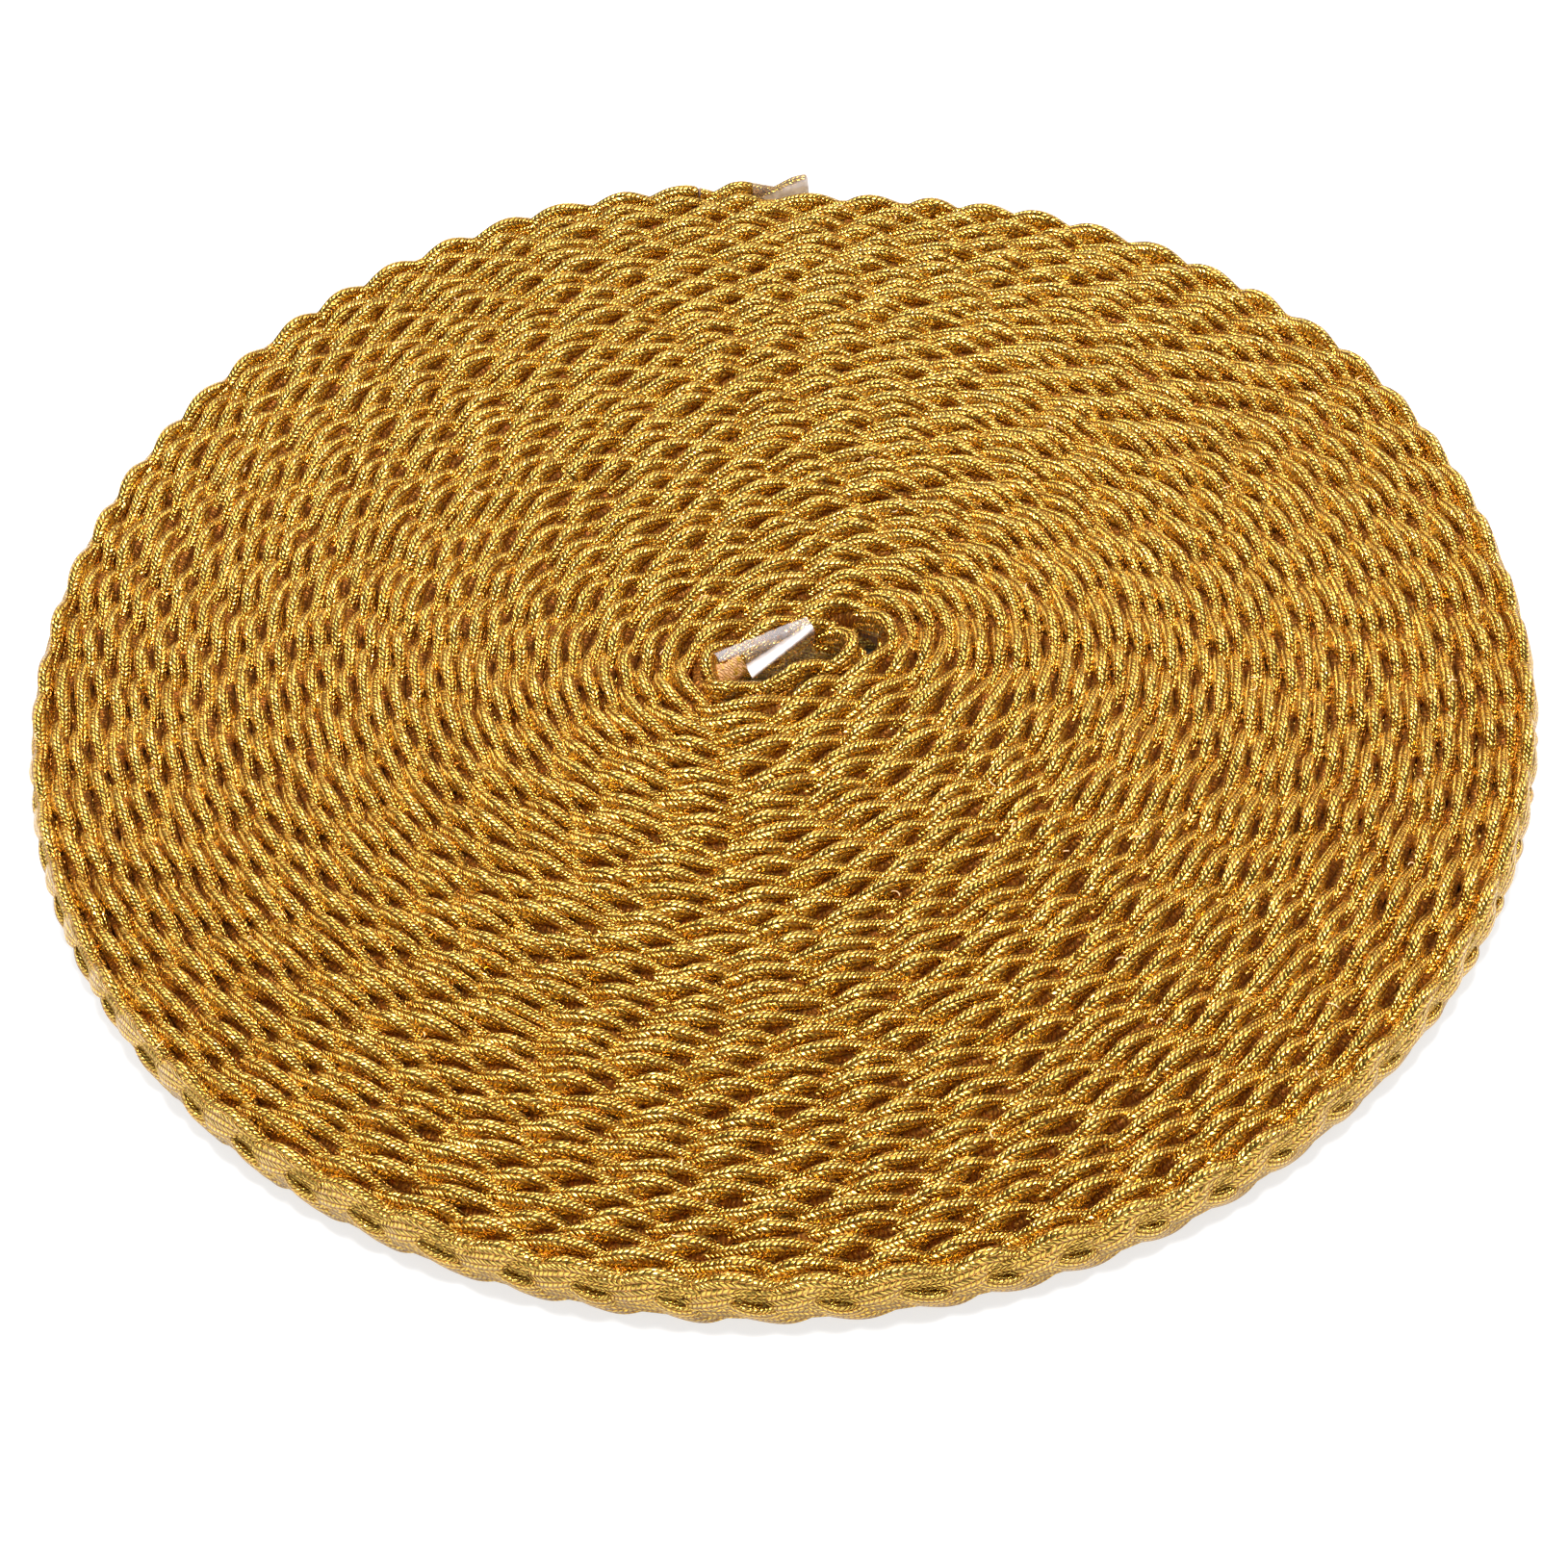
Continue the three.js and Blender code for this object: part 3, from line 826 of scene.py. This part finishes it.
# %% Film
FILM_THICKNESS = 0.09
FILM_AROUND = 96
FILM_ALONG = 90
OUTLINE_SOFTENING = 3
LONG_RIPPLE = 0.05
SHORT_RIPPLE = 0.03
FILM_FOOT = 0.05
CENTIMETRE = 10


def soft_loop(corners):
    """A closed outline with as many points on each side as on any other, and softened corners."""
    closed = np.vstack([corners, corners[:1]])
    number = np.arange(FILM_AROUND) / FILM_AROUND * len(corners)
    loop = np.stack([np.interp(number, np.arange(len(closed)), closed[:, k]) for k in (0, 1)], -1)
    for _ in range(OUTLINE_SOFTENING):
        loop = (np.roll(loop, 1, 0) + 2 * loop + np.roll(loop, -1, 0)) / 4
    return loop


def film(name, first, last, near, far, milkiness_and_highlight):
    """A tube of film round the braid, between two distances for each place round it.

    With f from 0 at the near end to 1 at the far end, the outline is (1 - f) near + f far, as
    outward side and height. The inner skin is the outer one moved in by the film's thickness.
    """
    share = np.linspace(0, 1, FILM_ALONG)[:, None]
    s = first + share * (last - first)
    f = ((s - first.min()) / (last.max() - first.min()))[..., None]
    outline = (1 - f) * soft_loop(near) + f * soft_loop(far)
    way = np.roll(outline, -1, 1) - np.roll(outline, 1, 1)
    normal = np.stack([-way[..., 1], way[..., 0]], -1)
    normal /= np.linalg.norm(normal, axis=-1, keepdims=True)
    place = np.arange(FILM_AROUND) / FILM_AROUND
    turn = 2 * math.pi
    ripple = LONG_RIPPLE * np.sin(turn * (s / 3.1 + 2 * place) + 1.7 * np.sin(turn * s / 5.3))
    ripple += SHORT_RIPPLE * np.sin(turn * (s / 1.7 - 3 * place))
    outer = outline + ripple[..., None] * normal
    skins = np.concatenate([outer, (outer - FILM_THICKNESS * normal)[::-1]])
    along = np.concatenate([s, s[::-1]])
    point, _, out = along_line(along.ravel())
    flat = point + skins[..., 0].reshape(-1, 1) * out
    points = np.column_stack([flat, np.maximum(skins[..., 1].ravel(), FILM_FOOT)])
    rows = 2 * FILM_ALONG
    i, j = np.meshgrid(np.arange(rows), np.arange(FILM_AROUND), indexing="ij")
    corner_i, corner_j = np.stack([i, i + 1, i + 1, i], -1), np.stack([j, j, j + 1, j + 1], -1)
    quads = (corner_i % rows) * FILM_AROUND + corner_j % FILM_AROUND
    milk_and_highlight = milkiness_and_highlight(along, skins[..., 0], skins[..., 1])
    corner = corner_i % rows, corner_j % FILM_AROUND
    uv = np.stack([along[corner] / CENTIMETRE, milk_and_highlight[corner]], -1)
    return mesh_object(name, points, quads.reshape(-1, 4), uv.reshape(-1, 4, 2), [], "film")


def step(value, low, high):
    """A smooth step from 0 to 1 between two values."""
    x = np.clip((value - low) / (high - low), 0, 1)
    return x * x * (3 - 2 * x)


# %% [markdown]
# The corners of each outline go from the top over the outward side and under the braid, and
# come back up the front. The front skin of the film in the middle starts later than its back,
# because the tape was put on aslant, and that leaves the bare yarn open.

# %% The two films
CORE_NEAR = np.array([
    (0, 10.2), (0.9, 10.05), (1.45, 9.2), (1.5, 1.0), (1.2, 0.3), (-1.2, 0.3),
    (-1.7, 0.9), (-3.9, 5.0), (-4.0, 5.7), (-1.9, 6.2), (-1.45, 8.8), (-0.9, 10.05),
])
CORE_FAR = np.array([
    (0, 10.3), (0.9, 10.15), (1.45, 9.3), (1.5, 1.0), (1.2, 0.3), (-1.2, 0.3),
    (-1.5, 0.9), (-1.75, 6.0), (-1.9, 9.7), (-1.2, 10.15), (-0.9, 10.2), (-0.5, 10.25),
])
END_OUTLINE = np.array([
    (0, 10.1), (0.8, 10.0), (1.3, 9.2), (1.3, 1.0), (1.0, 0.3), (-1.0, 0.3),
    (-1.4, 0.9), (-1.5, 4.0), (-1.5, 7.9), (-1.3, 8.8), (-1.1, 9.5), (-0.7, 10.0),
])
FRONT_FROM = 6.3 / 12
FRONT_TO = 10.4 / 12


def core_milk_and_highlight(s, side, height):
    """Whitest on the flat fold, where the white is a painted highlight, a little white along the
    top, and nearly clear on the rest.
    """
    f = (s - CORE_TAPE_START) / CORE_TAPE_LENGTH
    inner, outer = -1.9 + 0.7 * f, -4.0 + 2.45 * f
    level = 5.9 + 4.1 * f
    # The fold's white is a painted highlight.
    fold = step(side, outer - 0.2, outer + 0.3) * (1 - step(side, inner, inner + 0.5))
    fold *= step(height, level - 0.9, level - 0.3) * (1 - step(height, level + 0.5, level + 1.0))
    return np.maximum(fold, 0.1 * step(height, 8.0, 9.8)) + 0.05


def end_milkiness(s, side, height):
    """White on the face towards the roll, up to a line that climbs to the cut, clear above."""
    line_height = 6.3 + 3.0 * (s - (BRAID_END - END_TAPE_LENGTH)) / END_TAPE_LENGTH
    return 0.12 + 0.75 * (1 - step(height, line_height - 0.3, line_height + 0.5)) * (side < 0)


around = np.arange(FILM_AROUND) / FILM_AROUND
late = step(around, FRONT_FROM - 0.04, FRONT_FROM) * (1 - step(around, FRONT_TO, FRONT_TO + 0.04))
core_film = film(
    "core_film", CORE_TAPE_START + (BARE_LENGTH - CORE_TAPE_START) * late,
    CORE_TAPE_START + CORE_TAPE_LENGTH + 0 * around, CORE_NEAR, CORE_FAR, core_milk_and_highlight,
)
end_film = film(
    "end_film", BRAID_END - END_TAPE_LENGTH + 0 * around, BRAID_END + 0 * around,
    END_OUTLINE, END_OUTLINE, end_milkiness,
)

# %% [markdown]
# The film's finish is a glossy surface that mostly lets light through. The milky value makes it
# less clear, and a noise in the film's own place breaks that up, as trapped air and dust do. On
# the fold in the middle of the roll the same value paints the white highlight.

# %% Clear tape material
FILM_GREY = (0.6, 0.55, 0.53, 1)
FILM_WHITE = (0.84, 0.81, 0.84, 1)
MILKIEST = 0.94


def clear_tape():
    """Glossy film: alpha is the value from the film's UV map, haze and the painted highlight, times
    a noise about 1, over a crinkled surface.
    """
    material, shader = new_material("clear tape")
    w = Wiring(material)
    milk_and_highlight = w.add("ShaderNodeSeparateXYZ", {0: w.add("ShaderNodeUVMap", uv_map="film")}, output=1)
    place = w.add("ShaderNodeTexCoord", output=3)
    cloud = w.add("ShaderNodeTexNoise", {"Vector": place, "Scale": 700.0, "Detail": 3.0})
    crinkle = w.add("ShaderNodeTexNoise", {"Vector": place, "Scale": 450.0, "Detail": 2.0})
    w.links.new(w.mix(cloud, FILM_GREY, FILM_WHITE), shader.inputs["Base Color"])
    uneven = w.math("ADD", 0.65, w.math("MULTIPLY", cloud, 0.7))
    alpha = w.math("MINIMUM", w.math("MULTIPLY", milk_and_highlight, uneven), MILKIEST)
    w.links.new(alpha, shader.inputs["Alpha"])
    shader.inputs["Roughness"].default_value = 0.12
    bump = w.add("ShaderNodeBump", {"Height": crinkle, "Distance": 0.12 * MM, "Strength": 1.0})
    w.links.new(bump, shader.inputs["Normal"])
    return material


clear = clear_tape()
for made, node in ((core_film, "core_tape"), (end_film, "end_tape")):
    made.data.materials.append(clear)
    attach(made, "root")
    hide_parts(node)
    print(made.name, "triangles:", 2 * len(made.data.polygons))

# %% [markdown]
# ## Floor and light
# The photograph was taken in a light tent: the floor is plain white with hardly a shadow, and
# the braid's glints come from a broad bright part overhead. So the floor gives off a little
# light of its own, the sky is grey with one bright part above and behind, and one lamp above
# adds sparkle.

# %% Stage
FLOOR_SIZE = 6.0
FLOOR_GREY = (0.35, 0.35, 0.35, 1)
FLOOR_GLOW = 0.74
DARK_TO = 100 * MM
GLOW_FROM = 107 * MM


def floor():
    """A plain pale square that the roll lies on, which gives off light except under the roll."""
    half = FLOOR_SIZE / 2
    mesh = bpy.data.meshes.new("floor")
    corners = [(-half, -half, 0), (half, -half, 0), (half, half, 0), (-half, half, 0)]
    mesh.from_pydata(corners, [], [(0, 1, 2, 3)])
    made = bpy.data.objects.new("floor", mesh)
    bpy.context.scene.collection.objects.link(made)
    material, shader = new_material("pale floor")
    shader.inputs["Base Color"].default_value = FLOOR_GREY
    shader.inputs["Roughness"].default_value = 0.9
    shader.inputs["Emission Color"].default_value = (1, 1, 1, 1)
    w = Wiring(material)
    place = w.add("ShaderNodeTexCoord", output=3)
    away = w.add("ShaderNodeVectorMath", {0: place}, output=1, operation="LENGTH")
    limits = {"Value": away, "From Min": DARK_TO, "From Max": GLOW_FROM, "To Max": FLOOR_GLOW}
    w.links.new(w.add("ShaderNodeMapRange", limits), shader.inputs["Emission Strength"])
    made.data.materials.append(material)
    return made


def soft_light(name, place, size, power):
    """A square area light that looks at the roll."""
    data = bpy.data.lights.new(name, "AREA")
    data.size = size
    data.energy = power
    made = bpy.data.objects.new(name, data)
    made.location = Vector(place)
    made.rotation_mode = "QUATERNION"
    made.rotation_quaternion = (-made.location).to_track_quat("-Z", "Y")
    bpy.context.scene.collection.objects.link(made)
    return made


SKY_DARK = 0.17
SKY_BRIGHT = 2.1
SKY_AIM = Vector((0.0, 0.6, 0.8)).normalized()
KEY_PLACE = (0.02, 0.02, 0.9)
KEY_SIZE = 0.24
KEY_POWER = 15.0


def pale_sky():
    """A grey sky with one broad bright part overhead and behind.

    Its brightness is a smooth step of the direction's product with the way to that part.
    """
    world = bpy.data.worlds.new("pale studio")
    world.use_nodes = True
    nodes, links = world.node_tree.nodes, world.node_tree.links
    place = nodes.new("ShaderNodeTexCoord")
    aim = nodes.new("ShaderNodeVectorMath")
    aim.operation = "DOT_PRODUCT"
    aim.inputs[1].default_value = SKY_AIM
    ramp = nodes.new("ShaderNodeMapRange")
    ramp.interpolation_type = "SMOOTHSTEP"
    limits = {"From Min": 0.5, "From Max": 1.0, "To Min": SKY_DARK, "To Max": SKY_BRIGHT}
    for socket, value in limits.items():
        ramp.inputs[socket].default_value = value
    links.new(place.outputs["Generated"], aim.inputs[0])
    links.new(aim.outputs["Value"], ramp.inputs["Value"])
    links.new(ramp.outputs["Result"], nodes["Background"].inputs["Color"])
    bpy.context.scene.world = world


floor()
pale_sky()
soft_light("key", KEY_PLACE, KEY_SIZE, KEY_POWER)
bpy.context.scene.view_settings.view_transform = "Standard"
